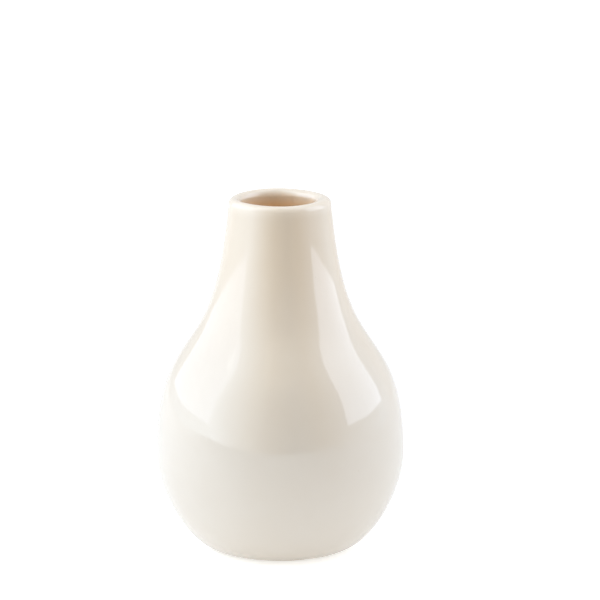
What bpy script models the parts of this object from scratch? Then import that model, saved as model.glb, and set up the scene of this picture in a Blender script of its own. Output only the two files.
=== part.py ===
"""Ceramic bud vase: a cast clay body, a glaze coat outside and over the lip, and one inside.

Units are metres. The origin is the centre of the base, on the surface that the vase stands on,
and +Z runs up the axis that every piece is turned about.
"""

import math

import bpy
import numpy as np

# Outer form, as the finished glaze surface
HEIGHT = 0.120
BELLY_RADIUS = 0.0419
BELLY_HEIGHT = 0.0326
SHOULDER_RADIUS = 0.0276
SHOULDER_HEIGHT = 0.0759
SHOULDER_LEAN = math.radians(31.0)
LIP_OUTER_RADIUS = 0.01725
NECK_LEAN = math.radians(5.2)
WIPE_RADIUS = 0.0240
WIPE_HEIGHT = 0.0008
WIPE_SLOPE = math.radians(6.6)

# How long the outline keeps its direction at each of those rings, as curve handles
NECK_REACH = 0.0153
SHOULDER_REACH_UP = 0.01285
SHOULDER_REACH_DOWN = 0.0134
BELLY_REACH_UP = 0.0265
BELLY_REACH_DOWN = 0.0138
WIPE_REACH = 0.0066

# Wall, glaze and inside form
WALL = 0.0044
GLAZE = 0.0005
GAP = 0.0003
THROAT_DEPTH = 0.024
FLOOR_RADIUS = 0.0170
FLOOR_HEIGHT = 0.0056
FLOOR_REACH = 0.0100
INNER_BELLY_REACH = 0.0135

# Unglazed foot ring of the clay body
FOOT_OUTER_RADIUS = 0.0226
FOOT_INNER_RADIUS = 0.0178
FOOT_BEVEL = 0.0004
RECESS_HEIGHT = 0.0014

# Fineness of the turned shapes
STEPS = 48
NECK_SEGMENTS = 4
SHOULDER_SEGMENTS = 7
FOOT_SEGMENTS = 8
THROAT_SEGMENTS = 3
LIP_SEGMENTS = 8
FINE_SAMPLES = 240

LIP_MIDDLE = np.array([LIP_OUTER_RADIUS - WALL / 2, HEIGHT - WALL / 2])

CREAM_GLAZE = (0.78, 0.69, 0.56)
BISQUE_CLAY = (0.66, 0.56, 0.43)


def clear_objects():
    """Empty the file of objects."""
    for thing in list(bpy.data.objects):
        bpy.data.objects.remove(thing, do_unlink=True)


def direction(angle):
    """Unit vector at an angle above the outward radius."""
    return np.array([math.cos(angle), math.sin(angle)])


def cubic(ends, handles, times):
    """Points and left normals of a cubic curve at the given times."""
    start, end = ends
    leave, arrive = handles
    t = np.asarray(times)[:, None]
    points = (1 - t) ** 3 * start + 3 * (1 - t) ** 2 * t * leave
    points = points + 3 * (1 - t) * t ** 2 * arrive + t ** 3 * end
    tangents = (1 - t) ** 2 * (leave - start) + t ** 2 * (end - arrive)
    tangents = tangents + 2 * (1 - t) * t * (arrive - leave)
    normals = np.stack([-tangents[:, 1], tangents[:, 0]], axis=1)
    return points, normals / np.linalg.norm(normals, axis=1)[:, None]


def distances_along(points):
    """How far along its own length each point of a fine run lies."""
    steps = np.linalg.norm(np.diff(points, axis=0), axis=1)
    return np.concatenate([[0.0], np.cumsum(steps)])


def evenly(ends, handles, segments, start=0.0, stop=None):
    """Points and normals spaced evenly by length, between two distances along a cubic."""
    fine_times = np.linspace(0.0, 1.0, FINE_SAMPLES)
    fine_points, _ = cubic(ends, handles, fine_times)
    lengths = distances_along(fine_points)
    wanted = np.linspace(start, lengths[-1] if stop is None else stop, segments + 1)
    return cubic(ends, handles, np.interp(wanted, lengths, fine_times))


def neck_outline():
    """Ends and handles of the outline from the lip down to the shoulder."""
    down_neck = direction(NECK_LEAN - math.pi / 2)
    down_shoulder = direction(SHOULDER_LEAN - math.pi / 2)
    neck = LIP_MIDDLE + WALL / 2 * direction(NECK_LEAN)
    shoulder = np.array([SHOULDER_RADIUS, SHOULDER_HEIGHT])
    handles = (neck + NECK_REACH * down_neck, shoulder - SHOULDER_REACH_UP * down_shoulder)
    return (neck, shoulder), handles


def shoulder_outline():
    """Ends and handles of the outline from the shoulder down to the belly's widest ring."""
    down_shoulder = direction(SHOULDER_LEAN - math.pi / 2)
    shoulder = np.array([SHOULDER_RADIUS, SHOULDER_HEIGHT])
    belly = np.array([BELLY_RADIUS, BELLY_HEIGHT])
    handles = (shoulder + SHOULDER_REACH_DOWN * down_shoulder, belly + (0.0, BELLY_REACH_UP))
    return (shoulder, belly), handles


def foot_outline():
    """Ends and handles of the outline from the widest ring under to the wipe line."""
    belly = np.array([BELLY_RADIUS, BELLY_HEIGHT])
    wipe = np.array([WIPE_RADIUS, WIPE_HEIGHT])
    handles = (belly - (0.0, BELLY_REACH_DOWN), wipe + WIPE_REACH * direction(WIPE_SLOPE))
    return (belly, wipe), handles


def floor_outline():
    """Ends and handles of the inside from the flat floor up to the widest ring."""
    floor_edge = np.array([FLOOR_RADIUS, FLOOR_HEIGHT])
    belly = np.array([BELLY_RADIUS - WALL, BELLY_HEIGHT])
    handles = (floor_edge + (FLOOR_REACH, 0.0), belly - (0.0, INNER_BELLY_REACH))
    return (floor_edge, belly), handles


def inside_of(run):
    """The wall's inner face behind a run of its outer face, running up instead of down."""
    points, normals = run
    return (points - WALL * normals)[::-1], -normals[::-1]


def lip_arc():
    """The rounded lip, from the inside over the top to the outside."""
    angles = np.linspace(math.pi + NECK_LEAN, NECK_LEAN, LIP_SEGMENTS + 1)
    normals = np.stack([np.cos(angles), np.sin(angles)], axis=1)
    return LIP_MIDDLE + WALL / 2 * normals, normals


def floor_centre():
    """The one point of the floor on the axis."""
    return np.array([[0.0, FLOOR_HEIGHT]]), np.array([[0.0, 1.0]])


def join(stretches):
    """Stretches that meet end to end, as one run without the doubled points."""
    points = [stretches[0][0]] + [stretch[0][1:] for stretch in stretches[1:]]
    normals = [stretches[0][1]] + [stretch[1][1:] for stretch in stretches[1:]]
    return np.vstack(points), np.vstack(normals)


def inside_run(seam_depth):
    """The finished inside surface, from the axis up to a seam this far down the throat."""
    rise = evenly(*floor_outline(), FOOT_SEGMENTS)
    floor = np.vstack([floor_centre()[0], rise[0]]), np.vstack([floor_centre()[1], rise[1]])
    belly = inside_of(evenly(*shoulder_outline(), SHOULDER_SEGMENTS))
    throat = inside_of(evenly(*neck_outline(), THROAT_SEGMENTS, start=seam_depth))
    return join([floor, belly, throat])


def outside_run():
    """The finished outside surface, from the seam in the throat over the lip to the wipe line."""
    throat = inside_of(evenly(*neck_outline(), THROAT_SEGMENTS, stop=THROAT_DEPTH))
    neck = evenly(*neck_outline(), NECK_SEGMENTS)
    shoulder = evenly(*shoulder_outline(), SHOULDER_SEGMENTS)
    foot = evenly(*foot_outline(), FOOT_SEGMENTS)
    return join([throat, lip_arc(), neck, shoulder, foot])


def beneath(run, depth):
    """The surface that lies the given depth under a finished run."""
    points, normals = run
    return points - depth * normals


def foot_ring():
    """The clay's underside, from the wipe line round the foot ring to the axis."""
    inset = (WIPE_RADIUS - FOOT_OUTER_RADIUS) * math.tan(WIPE_SLOPE)
    return np.array([
        (FOOT_OUTER_RADIUS, WIPE_HEIGHT + GLAZE + GAP - inset),
        (FOOT_OUTER_RADIUS, FOOT_BEVEL),
        (FOOT_OUTER_RADIUS - FOOT_BEVEL, 0.0),
        (FOOT_INNER_RADIUS + FOOT_BEVEL, 0.0),
        (FOOT_INNER_RADIUS, FOOT_BEVEL),
        (FOOT_INNER_RADIUS - FOOT_BEVEL, RECESS_HEIGHT),
        (0.0, RECESS_HEIGHT),
    ])


def plain_material(name, colour, roughness):
    """A Principled material with one colour."""
    material = bpy.data.materials.new(name)
    material.use_nodes = True
    shader = material.node_tree.nodes["Principled BSDF"]
    shader.inputs["Base Color"].default_value = (*colour, 1.0)
    shader.inputs["Roughness"].default_value = roughness
    shader.inputs["Metallic"].default_value = 0.0
    material.diffuse_color = (*colour, 1.0)
    return material


def turned(name, profile, closed, material, collection):
    """A solid turned about Z from a profile that runs down its outer side."""
    corners = [(radius, 0.0, height) for radius, height in profile]
    edges = [(i, i + 1) for i in range(len(corners) - 1)]
    if closed:
        edges.append((len(corners) - 1, 0))
    mesh = bpy.data.meshes.new(name)
    mesh.from_pydata(corners, edges, [])
    mesh.materials.append(material)
    piece = bpy.data.objects.new(name, mesh)
    collection.objects.link(piece)
    screw = piece.modifiers.new("turn", "SCREW")
    screw.axis = "Z"
    screw.angle = math.tau
    screw.steps = STEPS
    screw.render_steps = STEPS
    screw.use_merge_vertices = True
    screw.merge_threshold = 0.00001
    screw.use_smooth_shade = True
    return piece


def clay_body(collection):
    """The casting: floor, wall, neck and lip under the glaze, and the bare foot ring."""
    whole = join([inside_run(THROAT_DEPTH), outside_run()])
    profile = np.vstack([beneath(whole, GLAZE + GAP), foot_ring()])
    material = plain_material("bisque_clay", BISQUE_CLAY, 0.8)
    return turned("clay_body", profile, False, material, collection)


def outer_glaze(collection):
    """The coat outside the wall, over the lip and a little way down the throat."""
    run = outside_run()
    profile = np.vstack([run[0], beneath(run, GLAZE)[::-1]])
    material = plain_material("outer_glaze", CREAM_GLAZE, 0.12)
    return turned("outer_glaze", profile, True, material, collection)


def inner_glaze(collection):
    """The coat poured inside, over the floor and up the wall to the seam in the throat."""
    run = inside_run(THROAT_DEPTH + GAP)
    profile = np.vstack([run[0], beneath(run, GLAZE)[::-1]])
    material = plain_material("inner_glaze", CREAM_GLAZE, 0.16)
    return turned("inner_glaze", profile, False, material, collection)


def build():
    """Make the vase's pieces in a collection of their own."""
    clear_objects()
    collection = bpy.data.collections.new("ceramic_bud_vase")
    bpy.context.scene.collection.children.link(collection)
    clay_body(collection)
    outer_glaze(collection)
    inner_glaze(collection)


build()
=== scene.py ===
"""Looks of the ceramic bud vase: its two glaze coats, its bare foot, and the studio it stands in."""

import math

import bpy
import numpy as np
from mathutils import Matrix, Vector, noise


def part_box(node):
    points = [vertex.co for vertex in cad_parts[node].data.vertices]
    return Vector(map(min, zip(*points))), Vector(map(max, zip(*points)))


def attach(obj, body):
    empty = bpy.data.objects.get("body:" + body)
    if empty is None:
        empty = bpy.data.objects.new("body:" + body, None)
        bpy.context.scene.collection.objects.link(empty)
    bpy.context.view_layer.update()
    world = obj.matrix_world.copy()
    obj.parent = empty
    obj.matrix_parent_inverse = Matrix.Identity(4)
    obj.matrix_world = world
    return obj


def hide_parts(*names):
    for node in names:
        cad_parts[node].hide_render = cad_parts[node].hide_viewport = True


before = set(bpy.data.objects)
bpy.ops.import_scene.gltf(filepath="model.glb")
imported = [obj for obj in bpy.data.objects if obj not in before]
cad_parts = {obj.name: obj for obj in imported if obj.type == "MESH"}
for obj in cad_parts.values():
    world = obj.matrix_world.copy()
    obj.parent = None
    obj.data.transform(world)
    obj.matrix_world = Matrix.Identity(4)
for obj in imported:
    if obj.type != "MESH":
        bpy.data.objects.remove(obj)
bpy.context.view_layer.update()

# ---------------------------------------------------------------- form, in metres
GLAZE_LOW, GLAZE_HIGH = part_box("outer_glaze")
BELLY_RADIUS = GLAZE_HIGH.x
HEIGHT = GLAZE_HIGH.z
WIPE_HEIGHT = GLAZE_LOW.z

# The outline's rings, its leans there, and how long it keeps each direction
BELLY_HEIGHT = 0.0326
SHOULDER_RADIUS = 0.0276
SHOULDER_HEIGHT = 0.0759
SHOULDER_LEAN = math.radians(31.0)
LIP_OUTER_RADIUS = 0.01725
NECK_LEAN = math.radians(5.2)
WIPE_RADIUS = 0.0240
WIPE_SLOPE = math.radians(6.6)
NECK_REACH = 0.0153
SHOULDER_REACH_UP = 0.01285
SHOULDER_REACH_DOWN = 0.0134
BELLY_REACH_UP = 0.0265
BELLY_REACH_DOWN = 0.0138
WIPE_REACH = 0.0066

# Wall, inside and foot ring
WALL = 0.0044
GLAZE = 0.0005
SKIN_GAP = 0.00004  # between a coat and the clay, where the CAD keeps 0.3 mm
THROAT_DEPTH = 0.024
FLOOR_RADIUS = 0.0170
FLOOR_HEIGHT = 0.0056
FLOOR_REACH = 0.0100
INNER_BELLY_REACH = 0.0135
FOOT_OUTER_RADIUS = 0.0226
FOOT_INNER_RADIUS = 0.0178
FOOT_ROUNDING = 0.0005
RECESS_HEIGHT = 0.0014

# How the bare clay comes out from under the coat at the wipe line
WIPE_OVERHANG = 0.0004
WIPE_LIFT = 0.00005
WIPE_STEP = 0.0003

# The centre of the lip's rounding, as radius and height
LIP_MIDDLE = np.array([LIP_OUTER_RADIUS - WALL / 2, HEIGHT - WALL / 2])

# Fineness of the visible surfaces
GLAZE_STEPS = 192
CLAY_STEPS = 160
SPACING = 0.0009
HIDDEN_SPACING = 0.0036
LIP_SEGMENTS = 26
HIDDEN_LIP_SEGMENTS = LIP_SEGMENTS // 3
END_SEGMENTS = 6
CORNER_SEGMENTS = 5
FLAT_SEGMENTS = 8
RECESS_SEGMENTS = 13
FINE_SAMPLES = 600
SHARP_ANGLE = math.radians(40.0)

# A smaller radius counts as on the axis, and a smaller height as on the floor
ON_AXIS = 1e-7
ON_FLOOR = 1e-6

# How far a hand-finished pot strays from a perfect turning
OUT_OF_ROUND = 0.0012
OVAL_TURN = 0.7
LIP_WAVE = 0.00009
LIP_WAVE_TURN = 1.1
LIP_WAVE_REACH = 0.012
MOUTH_SHIFT = 0.0006
MOUTH_SHIFT_DEPTH = 0.014
NECK_FLARE = 0.10  # how far the wall leans out, for each unit of depth
SAND_HEIGHT = 0.00003
SAND_SCALE = 900.0

# The glaze's uneven thickness, its roll above the wipe line, and the line's own wandering
GLAZE_WAVE = 0.000035
BROAD_WAVE_SCALE = 70.0
FINE_WAVE_SCALE = 210.0
FINE_WAVE_PLACE = Vector((3.0, 5.0, 7.0))
FINE_WAVE_SHARE = 0.25
BEAD_HEIGHT = 0.00012
BEAD_REACH = 0.0022
WIPE_WANDER = 0.00035
WANDER_SCALE = 2.3
RAGGED_SCALE = 9.0
RAGGED_SHARE = 0.35
WANDER_REACH = 0.003

# How far the lip's painted light reaches, and how strongly the inside is tinted with painted bounce
# light by depth below the crest
LIP_LIGHT_REACH = 0.0036
INSIDE_DEPTHS = (0.0010, 0.0055, 0.0100, 0.0240)
INSIDE_SHARES = (0.0, 1.0, 1.0, 0.5)


# ---------------------------------------------------------------- outline

def direction(angle):
    """Unit vector in the profile's plane, at an angle above the outward radius."""
    return np.array([math.cos(angle), math.sin(angle)])


def cubic(ends, handles, times):
    """Points and left normals of a cubic curve at the given times."""
    start, end = ends
    leave, arrive = handles
    t = np.asarray(times)[:, None]
    points = (1 - t) ** 3 * start + 3 * (1 - t) ** 2 * t * leave
    points = points + 3 * (1 - t) * t ** 2 * arrive + t ** 3 * end
    tangents = (1 - t) ** 2 * (leave - start) + t ** 2 * (end - arrive)
    tangents = tangents + 2 * (1 - t) * t * (arrive - leave)
    normals = np.stack([-tangents[:, 1], tangents[:, 0]], axis=1)
    return points, normals / np.linalg.norm(normals, axis=1)[:, None]


def evenly(outline, spacing, start=0.0, stop=None):
    """Points and normals spaced evenly by length, between two distances along an outline."""
    ends, handles = outline
    fine_times = np.linspace(0.0, 1.0, FINE_SAMPLES)
    fine_points, _ = cubic(ends, handles, fine_times)
    steps = np.linalg.norm(np.diff(fine_points, axis=0), axis=1)
    lengths = np.concatenate([[0.0], np.cumsum(steps)])
    stop = lengths[-1] if stop is None else stop
    count = max(2, round((stop - start) / spacing) + 1)
    wanted = np.linspace(start, stop, count)
    return cubic(ends, handles, np.interp(wanted, lengths, fine_times))


def neck_outline():
    """Ends and handles of the outline from the lip down to the shoulder."""
    down_neck = direction(NECK_LEAN - math.pi / 2)
    down_shoulder = direction(SHOULDER_LEAN - math.pi / 2)
    neck = LIP_MIDDLE + WALL / 2 * direction(NECK_LEAN)
    shoulder = np.array([SHOULDER_RADIUS, SHOULDER_HEIGHT])
    handles = (neck + NECK_REACH * down_neck, shoulder - SHOULDER_REACH_UP * down_shoulder)
    return (neck, shoulder), handles


def shoulder_outline():
    """Ends and handles of the outline from the shoulder down to the belly's widest ring."""
    down_shoulder = direction(SHOULDER_LEAN - math.pi / 2)
    shoulder = np.array([SHOULDER_RADIUS, SHOULDER_HEIGHT])
    belly = np.array([BELLY_RADIUS, BELLY_HEIGHT])
    handles = (shoulder + SHOULDER_REACH_DOWN * down_shoulder, belly + (0.0, BELLY_REACH_UP))
    return (shoulder, belly), handles


def foot_outline():
    """Ends and handles of the outline from the widest ring under to the wipe line."""
    belly = np.array([BELLY_RADIUS, BELLY_HEIGHT])
    wipe = np.array([WIPE_RADIUS, WIPE_HEIGHT])
    handles = (belly - (0.0, BELLY_REACH_DOWN), wipe + WIPE_REACH * direction(WIPE_SLOPE))
    return (belly, wipe), handles


def floor_outline():
    """Ends and handles of the inside from the flat floor up to the widest ring."""
    floor_edge = np.array([FLOOR_RADIUS, FLOOR_HEIGHT])
    belly = np.array([BELLY_RADIUS - WALL, BELLY_HEIGHT])
    handles = (floor_edge + (FLOOR_REACH, 0.0), belly - (0.0, INNER_BELLY_REACH))
    return (floor_edge, belly), handles


def inside_of(run):
    """The wall's inner face behind a run of its outer face, running up instead of down."""
    points, normals = run
    return (points - WALL * normals)[::-1], -normals[::-1]


def lip_arc(segments):
    """The rounded lip, from the inside over the top to the outside."""
    angles = np.linspace(math.pi + NECK_LEAN, NECK_LEAN, segments + 1)
    normals = np.stack([np.cos(angles), np.sin(angles)], axis=1)
    return LIP_MIDDLE + WALL / 2 * normals, normals


def flat_floor(spacing):
    """The level floor from the axis out to where it starts to rise."""
    radii = np.linspace(0.0, FLOOR_RADIUS, max(2, round(FLOOR_RADIUS / spacing) + 1))
    points = np.stack([radii, np.full_like(radii, FLOOR_HEIGHT)], axis=1)
    return points, np.tile([0.0, 1.0], (len(radii), 1))


def join(*stretches):
    """Stretches that meet end to end, as one run without the doubled points."""
    points = [stretches[0][0]] + [stretch[0][1:] for stretch in stretches[1:]]
    normals = [stretches[0][1]] + [stretch[1][1:] for stretch in stretches[1:]]
    return np.vstack(points), np.vstack(normals)


def inside_run(spacing, seam_depth):
    """The finished inside surface, from the axis up to a seam this far down the throat."""
    return join(flat_floor(spacing),
                evenly(floor_outline(), spacing),
                inside_of(evenly(shoulder_outline(), spacing)),
                inside_of(evenly(neck_outline(), spacing, start=seam_depth)))


def outside_run(spacing, lip_segments):
    """The finished outside surface, from the seam in the throat over the lip to the wipe line."""
    return join(inside_of(evenly(neck_outline(), spacing, stop=THROAT_DEPTH)),
                lip_arc(lip_segments),
                evenly(neck_outline(), spacing),
                evenly(shoulder_outline(), spacing),
                evenly(foot_outline(), spacing))


def beneath(run, depth):
    """The surface that lies the given depth under a finished run."""
    points, normals = run
    return points - depth * normals


def rounded_end(last, depth, before):
    """A half-round end of a coat, from its finished face round to its hidden face."""
    along = last - before
    along = along / np.linalg.norm(along)
    into = np.array([along[1], -along[0]])
    middle = last + into * depth / 2
    angles = np.linspace(0.0, math.pi, END_SEGMENTS + 1)[1:-1]
    return np.array([middle + depth / 2 * (along * math.sin(angle) - into * math.cos(angle))
                     for angle in angles])


def corner_arc(corner, across, up):
    """A rounded corner of the foot, from its upright side to its level side."""
    angles = np.linspace(0.0, math.pi / 2, CORNER_SEGMENTS + 1)
    return [(corner[0] + across * FOOT_ROUNDING * (1 - math.cos(angle)),
             corner[1] + up * FOOT_ROUNDING * (1 - math.sin(angle))) for angle in angles]


def level_stretch(start, end, height, segments):
    """A level stretch between two radii, without its first point."""
    return [(radius, height) for radius in np.linspace(start, end, segments + 1)[1:]]


def foot_profile():
    """The clay's underside, from the wipe line round the foot ring to the axis."""
    inset = (WIPE_RADIUS - FOOT_OUTER_RADIUS) * math.tan(WIPE_SLOPE)
    top = WIPE_HEIGHT + GLAZE + SKIN_GAP - inset
    wipe = [(FOOT_OUTER_RADIUS + WIPE_OVERHANG, top + WIPE_LIFT), (FOOT_OUTER_RADIUS, top - WIPE_STEP)]
    outer = corner_arc((FOOT_OUTER_RADIUS, 0.0), -1, 1)
    inner = corner_arc((FOOT_INNER_RADIUS, 0.0), 1, 1)[::-1]
    cove = corner_arc((FOOT_INNER_RADIUS, RECESS_HEIGHT), -1, -1)
    flat = level_stretch(outer[-1][0], inner[0][0], 0.0, FLAT_SEGMENTS)[:-1]
    recess = level_stretch(cove[-1][0], 0.0, RECESS_HEIGHT, RECESS_SEGMENTS)
    return np.array(wipe + outer + flat + inner + cove + recess)


# ---------------------------------------------------------------- meshes

def smooth_step(share):
    """From 0 to 1 with a level start and end, held outside."""
    share = min(1.0, max(0.0, share))
    return share * share * (3.0 - 2.0 * share)


def mouth_shift(radius, height):
    """How far the mouth's inner wall sits off the axis, which leaves the lip thicker on one side."""
    depth = HEIGHT - height
    wall_middle = LIP_MIDDLE[0] + NECK_FLARE * depth
    inner = smooth_step(0.5 + (wall_middle - radius) / WALL)
    return MOUTH_SHIFT * inner * smooth_step(1.0 - depth / MOUTH_SHIFT_DEPTH)


def strayed(point, turn):
    """Where a point of the perfect form lies on the real pot, a little out of round with a wavy lip."""
    radius, height = point
    share = height / HEIGHT
    radius = radius * (1.0 + OUT_OF_ROUND * share * math.cos(2 * turn + OVAL_TURN))
    near_lip = max(0.0, 1.0 - (HEIGHT - height) / LIP_WAVE_REACH)
    shift = mouth_shift(radius, height)
    height = height + LIP_WAVE * near_lip * (math.cos(3 * turn + LIP_WAVE_TURN) - 1.0)
    return Vector((radius * math.cos(turn) - shift, radius * math.sin(turn), height))


def turned(name, profile, steps, closed, place):
    """A mesh turned about Z from a profile, with place(point, index, turn) giving each corner."""
    corners = []
    rings = []
    for index, point in enumerate(profile):
        if point[0] < ON_AXIS:
            rings.append([len(corners)] * steps)
            corners.append(place(point, index, 0.0))
            continue
        rings.append(list(range(len(corners), len(corners) + steps)))
        corners += [place(point, index, math.tau * step / steps) for step in range(steps)]
    pairs = list(zip(rings, rings[1:]))
    if closed:
        pairs.append((rings[-1], rings[0]))
    faces = []
    for upper, lower in pairs:
        for step in range(steps):
            after = (step + 1) % steps
            loop = [upper[step], lower[step], lower[after], upper[after]]
            faces.append(list(dict.fromkeys(loop)))
    mesh = bpy.data.meshes.new(name)
    mesh.from_pydata(corners, [], faces)
    mesh.validate()
    mesh.shade_smooth()
    mesh.set_sharp_from_angle(angle=SHARP_ANGLE)
    piece = bpy.data.objects.new(name, mesh)
    bpy.context.scene.collection.objects.link(piece)
    return piece


def set_attribute(piece, name, values):
    """A number for each corner of the piece, for its material to read."""
    piece.data.attributes.new(name, "FLOAT", "POINT").data.foreach_set("value", values)


def glaze_wave(corner):
    """How much thicker or thinner the coat is here than on average."""
    broad = noise.noise(corner * BROAD_WAVE_SCALE)
    fine = noise.noise(corner * FINE_WAVE_SCALE + FINE_WAVE_PLACE)
    return GLAZE_WAVE * (broad + FINE_WAVE_SHARE * fine)


def bead(distance):
    """The glaze's thicker roll just above the wipe line, by distance from it."""
    if distance > BEAD_REACH:
        return 0.0
    return BEAD_HEIGHT * math.sin(math.pi * distance / BEAD_REACH) ** 2


def wipe_wander(turn):
    """How far the hand-wiped edge strays out from its circle."""
    around = Vector((math.cos(turn), math.sin(turn), 0.0))
    wandering = noise.noise(around * WANDER_SCALE)
    ragged = noise.noise(around * RAGGED_SCALE)
    return WIPE_WANDER * (wandering + RAGGED_SHARE * ragged)


def make_outer_glaze():
    """The coat outside, over the lip and down the throat, with its bead and its wandering edge."""
    run = outside_run(SPACING, LIP_SEGMENTS)
    hidden = outside_run(HIDDEN_SPACING, HIDDEN_LIP_SEGMENTS)
    end = rounded_end(run[0][-1], GLAZE, run[0][-2])
    profile = np.vstack([run[0], end, beneath(hidden, GLAZE)[::-1]])
    normals = np.vstack([run[1], np.zeros((len(end) + len(hidden[0]), 2))])
    from_wipe = np.linalg.norm(profile - profile[len(run[0]) - 1], axis=1)

    def place(point, index, turn):
        corner = strayed(point, turn)
        normal = normals[index]
        outward = Vector((normal[0] * math.cos(turn), normal[0] * math.sin(turn), normal[1]))
        distance = from_wipe[index]
        corner += outward * (glaze_wave(corner) + bead(distance))
        edge = max(0.0, 1.0 - distance / WANDER_REACH)
        stray = wipe_wander(turn) * edge
        return corner + Vector((stray * math.cos(turn), stray * math.sin(turn), 0.0))

    piece = turned("glaze_outside", profile, GLAZE_STEPS, True, place)
    crest = np.array([LIP_MIDDLE[0], HEIGHT])
    throat_count = len(evenly(neck_outline(), SPACING, stop=THROAT_DEPTH)[0]) + LIP_SEGMENTS // 2
    # Painted light: a lighter cream over the lip's crest, and under the inside tint down the throat,
    # standing in for light from above on the rim.
    lip = np.exp(-(np.linalg.norm(profile - crest, axis=1) / LIP_LIGHT_REACH) ** 4)
    # Painted bounce light inside: the warm tint grows with depth below the crest, then eases to half
    # deep down.
    inside = np.interp(HEIGHT - profile[:, 1], INSIDE_DEPTHS, INSIDE_SHARES)
    lip[:throat_count] = 1.0
    inside[throat_count:] = 0.0
    set_attribute(piece, "lip", np.repeat(lip, GLAZE_STEPS))
    set_attribute(piece, "inside", np.repeat(inside, GLAZE_STEPS))
    return piece


def make_inner_glaze():
    """The coat inside, over the floor and up the wall to the seam in the throat."""
    seam = THROAT_DEPTH + GLAZE / 2 + SKIN_GAP
    run = inside_run(2 * SPACING, seam)
    hidden = inside_run(HIDDEN_SPACING, seam)
    profile = np.vstack([run[0], beneath(hidden, GLAZE)[::-1]])

    def place(point, index, turn):
        return strayed(point, turn)

    piece = turned("glaze_inside", profile, CLAY_STEPS, False, place)
    # The inside coat takes half the lighter lip colour and half the inside's painted bounce light.
    set_attribute(piece, "lip", np.full(len(piece.data.vertices), 1.0))
    set_attribute(piece, "inside", np.full(len(piece.data.vertices), INSIDE_SHARES[-1]))
    return piece


def make_clay():
    """The fired clay under both coats, with its sandy bare foot ring and shallow recess."""
    whole = join(inside_run(HIDDEN_SPACING, THROAT_DEPTH),
                 outside_run(HIDDEN_SPACING, HIDDEN_LIP_SEGMENTS))
    profile = np.vstack([beneath(whole, GLAZE + SKIN_GAP), foot_profile()])
    bare_from = len(whole[0])

    def place(point, index, turn):
        corner = strayed(point, turn)
        if index < bare_from or point[1] < ON_FLOOR:
            return corner
        return corner + Vector((0.0, 0.0, SAND_HEIGHT * noise.noise(corner * SAND_SCALE)))

    return turned("clay_pot", profile, CLAY_STEPS, False, place)


# ---------------------------------------------------------------- materials

class Nodes:
    """Short calls for adding nodes to one material."""

    def __init__(self, name):
        self.material = bpy.data.materials.new(name)
        self.material.use_nodes = True
        self.tree = self.material.node_tree
        self.shader = self.tree.nodes["Principled BSDF"]
        self.place = self.add("ShaderNodeTexCoord").outputs["Object"]

    def add(self, kind, **inputs):
        """A new node, with its inputs set to values or linked to sockets."""
        node = self.tree.nodes.new(kind)
        for name, value in inputs.items():
            self.feed(node.inputs[name.replace("_", " ")], value)
        return node

    def feed(self, socket, value):
        """A link into the socket if the value is a socket itself, and its default value if not."""
        if isinstance(value, bpy.types.NodeSocket):
            self.tree.links.new(value, socket)
        else:
            socket.default_value = value

    def noise(self, scale, detail, roughness=0.5):
        """Noise in the object's own space, with the scale in features a metre."""
        texture = self.add("ShaderNodeTexNoise", Vector=self.place, Scale=scale,
                           Detail=detail, Roughness=roughness)
        return texture.outputs["Fac"]

    def remap(self, value, low, high, to_low, to_high):
        """The value's low to high as to_low to to_high, held at both ends."""
        node = self.add("ShaderNodeMapRange", Value=value)
        node.inputs["From Min"].default_value = low
        node.inputs["From Max"].default_value = high
        node.inputs["To Min"].default_value = to_low
        node.inputs["To Max"].default_value = to_high
        return node.outputs["Result"]

    def math(self, operation, a, b):
        """Two numbers put together by a Math node."""
        node = self.tree.nodes.new("ShaderNodeMath")
        node.operation = operation
        self.feed(node.inputs[0], a)
        self.feed(node.inputs[1], b)
        return node.outputs["Value"]

    def mix(self, factor, a, b):
        """Colour a, turning into colour b by the factor."""
        return self.blend("MIX", factor, a, b)

    def blend(self, kind, factor, a, b):
        """Colour a with colour b laid over it by the factor."""
        node = self.tree.nodes.new("ShaderNodeMix")
        node.data_type = "RGBA"
        node.blend_type = kind
        self.feed(node.inputs["Factor"], factor)
        colours = [socket for socket in node.inputs if socket.type == "RGBA"]
        for socket, value in zip(colours, (a, b)):
            self.feed(socket, (*value, 1.0) if isinstance(value, tuple) else value)
        return next(socket for socket in node.outputs if socket.type == "RGBA")

    def attribute(self, name):
        """The number that set_attribute gave each corner under this name."""
        node = self.tree.nodes.new("ShaderNodeAttribute")
        node.attribute_name = name
        return node.outputs["Fac"]

    def bump(self, height, distance, before=None):
        """A normal bent by a height, on top of an earlier bump if there is one."""
        node = self.add("ShaderNodeBump", Height=height, Distance=distance)
        if before is not None:
            self.feed(node.inputs["Normal"], before)
        return node.outputs["Normal"]

    def finish(self, colour, roughness, normal, ior):
        """The material, with its shader fed."""
        self.feed(self.shader.inputs["Base Color"], colour)
        self.feed(self.shader.inputs["Roughness"], roughness)
        self.feed(self.shader.inputs["Normal"], normal)
        self.shader.inputs["IOR"].default_value = ior
        return self.material


# Glaze: linear colours, the heights they change between, and relief in metres
# This colour and the next hold painted light: the cream turns whiter and a little lighter from the neck
# down to the lower belly, standing in for the neutral light the white table bounces up.
CREAM_UPPER = (0.748, 0.646, 0.523)
CREAM_LOW_BOUNCE_LIT = (0.735, 0.675, 0.595)
# Painted light: a warmer, redder cream inside, standing in for light bouncing round the hollow and
# falling in at the mouth.
CREAM_INSIDE_BOUNCE_LIT = (0.920, 0.635, 0.370)
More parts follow.
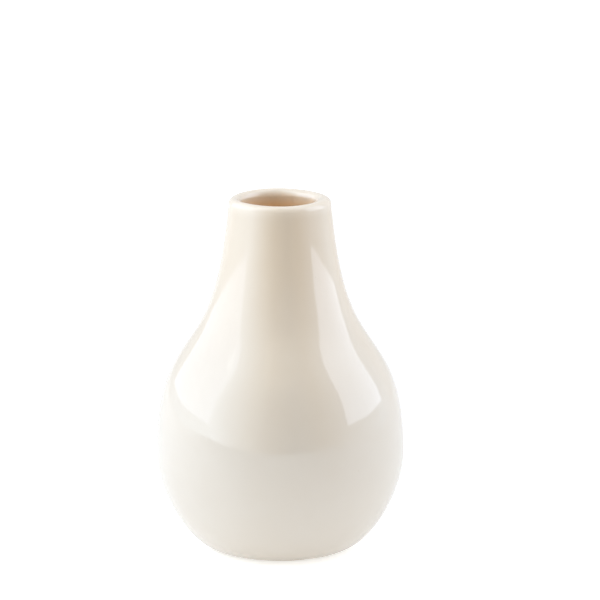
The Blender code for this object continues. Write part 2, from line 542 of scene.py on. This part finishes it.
# Painted light: a lighter cream for the lip, standing in for the light that falls on its top.
CREAM_LIP_LIT = (0.820, 0.725, 0.610)
UPPER_HEIGHT = 0.100
BOUNCE_LIT_HEIGHT = 0.040
UNTINTED = (1.0, 1.0, 1.0)
CLOUD_TINT = (0.985, 0.975, 0.960)
SPECK_BROWN = (0.45, 0.33, 0.21)
SPECK_CELLS = 110.0
PEEL_HEIGHT = 0.000010
PINHOLE_DEPTH = 0.000006
GLAZE_IOR = 1.75

# Bare clay, in the same terms
CLAY_DARK = (0.60, 0.50, 0.38)
CLAY_LIGHT = (0.68, 0.59, 0.46)
GRAIN_BROWN = (0.42, 0.33, 0.24)
FOOT_BOTTOM_GREY = (0.50, 0.44, 0.37)
FOOT_BOTTOM_HEIGHT = 0.0004
GRAIN_HEIGHT = 0.00006
CLAY_IOR = 1.45


def glaze_material():
    """Glossy cream glaze, faintly cloudy and dimpled, with painted light: whiter low down for the
    table's bounce light, lighter on the lip and warmer inside the hollow.
    """
    n = Nodes("cream_glaze")
    height = n.add("ShaderNodeSeparateXYZ", Vector=n.place).outputs["Z"]
    # Painted bounce light: the cream turns whiter and a little lighter towards the bottom.
    upper_share = n.remap(height, BOUNCE_LIT_HEIGHT, UPPER_HEIGHT, 0.0, 1.0)
    colour = n.mix(upper_share, CREAM_LOW_BOUNCE_LIT, CREAM_UPPER)
    clouds = n.remap(n.noise(scale=38.0, detail=3.0, roughness=0.55), 0.30, 0.70, 0.0, 1.0)
    colour = n.blend("MULTIPLY", 1.0, colour, n.mix(clouds, CLOUD_TINT, UNTINTED))
    # Painted light on the lip: lighter where light from above falls on the rim.
    colour = n.mix(n.attribute("lip"), colour, CREAM_LIP_LIT)
    # Painted bounce light inside the hollow, by depth below the crest.
    colour = n.mix(n.attribute("inside"), colour, CREAM_INSIDE_BOUNCE_LIT)
    cells = n.add("ShaderNodeTexVoronoi", Vector=n.place, Scale=SPECK_CELLS).outputs["Distance"]
    speck = n.remap(cells, 0.010, 0.030, 0.22, 0.0)
    rare = n.remap(n.noise(scale=60.0, detail=1.0), 0.54, 0.58, 0.0, 1.0)
    colour = n.mix(n.math("MULTIPLY", speck, rare), colour, SPECK_BROWN)
    roughness = n.remap(n.noise(scale=300.0, detail=3.0, roughness=0.6), 0.3, 0.7, 0.05, 0.09)
    peel = n.bump(n.noise(scale=420.0, detail=2.0, roughness=0.45), PEEL_HEIGHT)
    pinholes = n.remap(cells, 0.004, 0.016, 0.0, 1.0)
    normal = n.bump(pinholes, PINHOLE_DEPTH, peel)
    return n.finish(colour, roughness, normal, GLAZE_IOR)


def clay_material():
    """Bare fired clay: matt, sandy and greyer at the very bottom, where it stands."""
    n = Nodes("bisque_clay")
    grain = n.noise(scale=2600.0, detail=4.0, roughness=0.7)
    clouds = n.remap(n.noise(scale=120.0, detail=3.0, roughness=0.6), 0.35, 0.65, 0.0, 1.0)
    colour = n.mix(clouds, CLAY_DARK, CLAY_LIGHT)
    colour = n.mix(n.remap(grain, 0.55, 0.75, 0.0, 0.6), colour, GRAIN_BROWN)
    height = n.add("ShaderNodeSeparateXYZ", Vector=n.place).outputs["Z"]
    # Greyer and darker towards the floor, within the lowest fraction of a millimetre.
    near_floor = n.remap(height, 0.0, FOOT_BOTTOM_HEIGHT, 0.55, 0.0)
    colour = n.mix(near_floor, colour, FOOT_BOTTOM_GREY)
    roughness = n.remap(grain, 0.3, 0.7, 0.78, 0.92)
    normal = n.bump(grain, GRAIN_HEIGHT)
    return n.finish(colour, roughness, normal, CLAY_IOR)


# ---------------------------------------------------------------- studio

CAMERA_AIM = Vector((0.0067, 0.0, 0.0847))
CAMERA_DISTANCE = 1.45
CAMERA_ELEVATION = math.radians(12.91)
CAMERA_LENS = 258.8

TABLE_LEFT, TABLE_RIGHT = -1.10, 0.55
TABLE_FRONT, TABLE_BACK = -0.48, 3.2
TABLE_TOP = -0.00002  # just under the foot, so that the two faces don't coincide
TABLE_THICKNESS = 0.03
TABLE_WHITE = (0.60, 0.60, 0.60)
TABLE_ROUGHNESS = 0.7
GLOW_COLOUR = (1.0, 1.0, 0.98)

# How strongly the table glows behind and under the vase, close to it, and as the camera sees it
TABLE_GLOW = 0.28
GLOW_FRONT, GLOW_FULL = -0.34, -0.10
GLOW_BY_VASE = 0.14
GLOW_NEAR, GLOW_FAR = 0.03, 0.16
GLOW_SEEN = 0.62

SOFTBOX_DISTANCE = 1.0
SOFTBOX_TOP = 1.25
PANEL_SIZE = 0.8


def make_camera():
    """The camera, in front of the vase and a little above it."""
    data = bpy.data.cameras.new("camera")
    data.lens = CAMERA_LENS
    data.sensor_width = 36.0
    data.clip_start = 0.05
    data.clip_end = 50.0
    camera = bpy.data.objects.new("camera", data)
    back = Vector((0.0, -math.cos(CAMERA_ELEVATION), math.sin(CAMERA_ELEVATION)))
    camera.location = CAMERA_AIM + back * CAMERA_DISTANCE
    camera.rotation_euler = (-back).to_track_quat("-Z", "Y").to_euler()
    bpy.context.scene.collection.objects.link(camera)
    bpy.context.scene.camera = camera


def table_material():
    """White acrylic lit from below, brightest by the vase and unlit towards the front."""
    n = Nodes("table_white")
    backward = n.add("ShaderNodeSeparateXYZ", Vector=n.place).outputs["Y"]
    away = n.add("ShaderNodeVectorMath", Vector=n.place)
    away.operation = "LENGTH"
    glow = n.remap(backward, GLOW_FRONT, GLOW_FULL, 0.0, TABLE_GLOW)
    by_vase = n.remap(away.outputs["Value"], GLOW_NEAR, GLOW_FAR, GLOW_BY_VASE, 0.0)
    seen = n.add("ShaderNodeLightPath").outputs["Is Camera Ray"]
    glow = n.math("ADD", glow, by_vase)
    glow = n.math("MAXIMUM", glow, n.math("MULTIPLY", seen, GLOW_SEEN))
    n.shader.inputs["Base Color"].default_value = (*TABLE_WHITE, 1.0)
    n.shader.inputs["Roughness"].default_value = TABLE_ROUGHNESS
    n.shader.inputs["Emission Color"].default_value = (*GLOW_COLOUR, 1.0)
    n.feed(n.shader.inputs["Emission Strength"], glow)
    return n.material


def make_table():
    """The white table top that the vase stands on."""
    mesh = bpy.data.meshes.new("table")
    x0, x1, y0, y1 = TABLE_LEFT, TABLE_RIGHT, TABLE_FRONT, TABLE_BACK
    low, high = -TABLE_THICKNESS, TABLE_TOP
    corners = [(x, y, z) for z in (low, high) for x, y in ((x0, y0), (x1, y0), (x1, y1), (x0, y1))]
    faces = [(3, 2, 1, 0), (4, 5, 6, 7), (0, 1, 5, 4), (1, 2, 6, 5), (2, 3, 7, 6), (3, 0, 4, 7)]
    mesh.from_pydata(corners, [], faces)
    mesh.materials.append(table_material())
    table = bpy.data.objects.new("table", mesh)
    bpy.context.scene.collection.objects.link(table)


def area_light(name, width, height, radiance, colour, place, backward):
    """A rectangular light that the camera doesn't see, shining away from its backward direction."""
    data = bpy.data.lights.new(name, "AREA")
    data.shape = "RECTANGLE"
    data.size = width
    data.size_y = height
    data.energy = radiance * math.pi * width * height
    data.color = colour
    light = bpy.data.objects.new(name, data)
    light.location = place
    light.rotation_euler = backward.to_track_quat("Z", "Y").to_euler()
    light.visible_camera = False
    bpy.context.scene.collection.objects.link(light)


def softbox(name, azimuth, width, bottom, lean, radiance, colour):
    """A tall softbox facing the vase and leaning over it, at an azimuth from the camera's side."""
    turn = math.radians(azimuth)
    tilt = math.radians(lean)
    outward = Vector((math.sin(turn), -math.cos(turn), 0.0))
    middle = Vector((0.0, 0.0, (bottom + SOFTBOX_TOP) / 2))
    backward = outward * math.cos(tilt) + Vector((0.0, 0.0, math.sin(tilt)))
    area_light(name, width, SOFTBOX_TOP - bottom, radiance, colour,
               outward * SOFTBOX_DISTANCE + middle, backward)


def overhead(name, place, radiance, colour):
    """A square panel above the vase, facing its belly."""
    backward = Vector(place) - Vector((0.0, 0.0, BELLY_HEIGHT))
    area_light(name, PANEL_SIZE, PANEL_SIZE, radiance, colour, place, backward)


NEUTRAL = (1.0, 1.0, 1.0)
COOL = (0.8, 0.9, 1.0)
CREAMY = (1.0, 0.95, 0.85)
WARM = (1.0, 0.75, 0.45)

# What the vase reflects all round: azimuth from the camera's side, level and tint
SURROUNDINGS = (
    (-180.0, 0.7, NEUTRAL),
    (-140.0, 0.7, NEUTRAL),
    (-115.0, 1.2, COOL),
    (-65.0, 2.6, COOL),
    (-30.0, 1.15, CREAMY),
    (-10.0, 0.4, WARM),
    (15.0, 0.0, WARM),
    (40.0, 0.4, WARM),
    (65.0, 1.0, NEUTRAL),
    (115.0, 1.5, COOL),
    (140.0, 1.0, NEUTRAL),
    (180.0, 0.7, NEUTRAL))
BRIGHTEST = max(level for azimuth, level, tint in SURROUNDINGS)
BACKDROP_GLOW = 1.1


def make_world():
    """Surroundings that change round the vase: bright and cool at the sides, dark in front."""
    world = bpy.data.worlds.new("studio")
    world.use_nodes = True
    tree = world.node_tree
    background = tree.nodes["Background"]
    place = tree.nodes.new("ShaderNodeTexCoord")
    parts = tree.nodes.new("ShaderNodeSeparateXYZ")
    tree.links.new(place.outputs["Generated"], parts.inputs["Vector"])
    flip = tree.nodes.new("ShaderNodeMath")
    flip.operation = "MULTIPLY"
    flip.inputs[1].default_value = -1.0
    tree.links.new(parts.outputs["Y"], flip.inputs[0])
    angle = tree.nodes.new("ShaderNodeMath")
    angle.operation = "ARCTAN2"
    tree.links.new(parts.outputs["X"], angle.inputs[0])
    tree.links.new(flip.outputs["Value"], angle.inputs[1])
    share = tree.nodes.new("ShaderNodeMapRange")
    share.inputs["From Min"].default_value = -math.pi
    share.inputs["From Max"].default_value = math.pi
    tree.links.new(angle.outputs["Value"], share.inputs["Value"])
    ramp = tree.nodes.new("ShaderNodeValToRGB")
    stops = ramp.color_ramp.elements
    while len(stops) < len(SURROUNDINGS):
        stops.new(0.5)
    for stop, (azimuth, level, tint) in zip(stops, SURROUNDINGS):
        stop.position = (azimuth + 180.0) / 360.0
        stop.color = (*[part * level / BRIGHTEST for part in tint], 1.0)
    tree.links.new(share.outputs["Result"], ramp.inputs["Fac"])
    tree.links.new(ramp.outputs["Color"], background.inputs["Color"])
    background.inputs["Strength"].default_value = BRIGHTEST

    backdrop = tree.nodes.new("ShaderNodeBackground")
    seen = tree.nodes.new("ShaderNodeLightPath")
    choose = tree.nodes.new("ShaderNodeMixShader")
    tree.links.new(seen.outputs["Is Camera Ray"], choose.inputs["Fac"])
    tree.links.new(background.outputs["Background"], choose.inputs[1])
    tree.links.new(backdrop.outputs["Background"], choose.inputs[2])
    backdrop.inputs["Color"].default_value = (1.0, 1.0, 1.0, 1.0)
    backdrop.inputs["Strength"].default_value = BACKDROP_GLOW
    tree.links.new(choose.outputs["Shader"], tree.nodes["World Output"].inputs["Surface"])
    bpy.context.scene.world = world


def make_studio():
    """Camera, table, surroundings and lights."""
    make_camera()
    make_table()
    make_world()
    softbox("left_softbox", -103.0, 1.50, 0.130, 12.0, 0.75, (0.9, 1.0, 1.3))
    softbox("right_softbox", 90.5, 0.95, 0.125, 0.0, 1.35, (0.9, 1.0, 1.2))
    overhead("front_top_panel", (0.0, -0.8, 1.3), 0.27, (1.0, 0.85, 0.6))
    overhead("left_top_panel", (-0.8, 0.0, 1.3), 0.60, (0.9, 1.0, 0.95))
    bpy.context.scene.view_settings.view_transform = "Standard"


# ---------------------------------------------------------------- the vase

def make_vase():
    """The three pieces, each in place of its CAD node."""
    glaze = glaze_material()
    for piece, node, slot, material in (
            (make_outer_glaze(), "outer_glaze", "cream_glaze", glaze),
            (make_inner_glaze(), "inner_glaze", "cream_glaze", glaze),
            (make_clay(), "clay_body", "bisque_clay", clay_material())):
        piece.data.materials.append(material)
        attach(piece, "root")
        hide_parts(node)


make_studio()
make_vase()
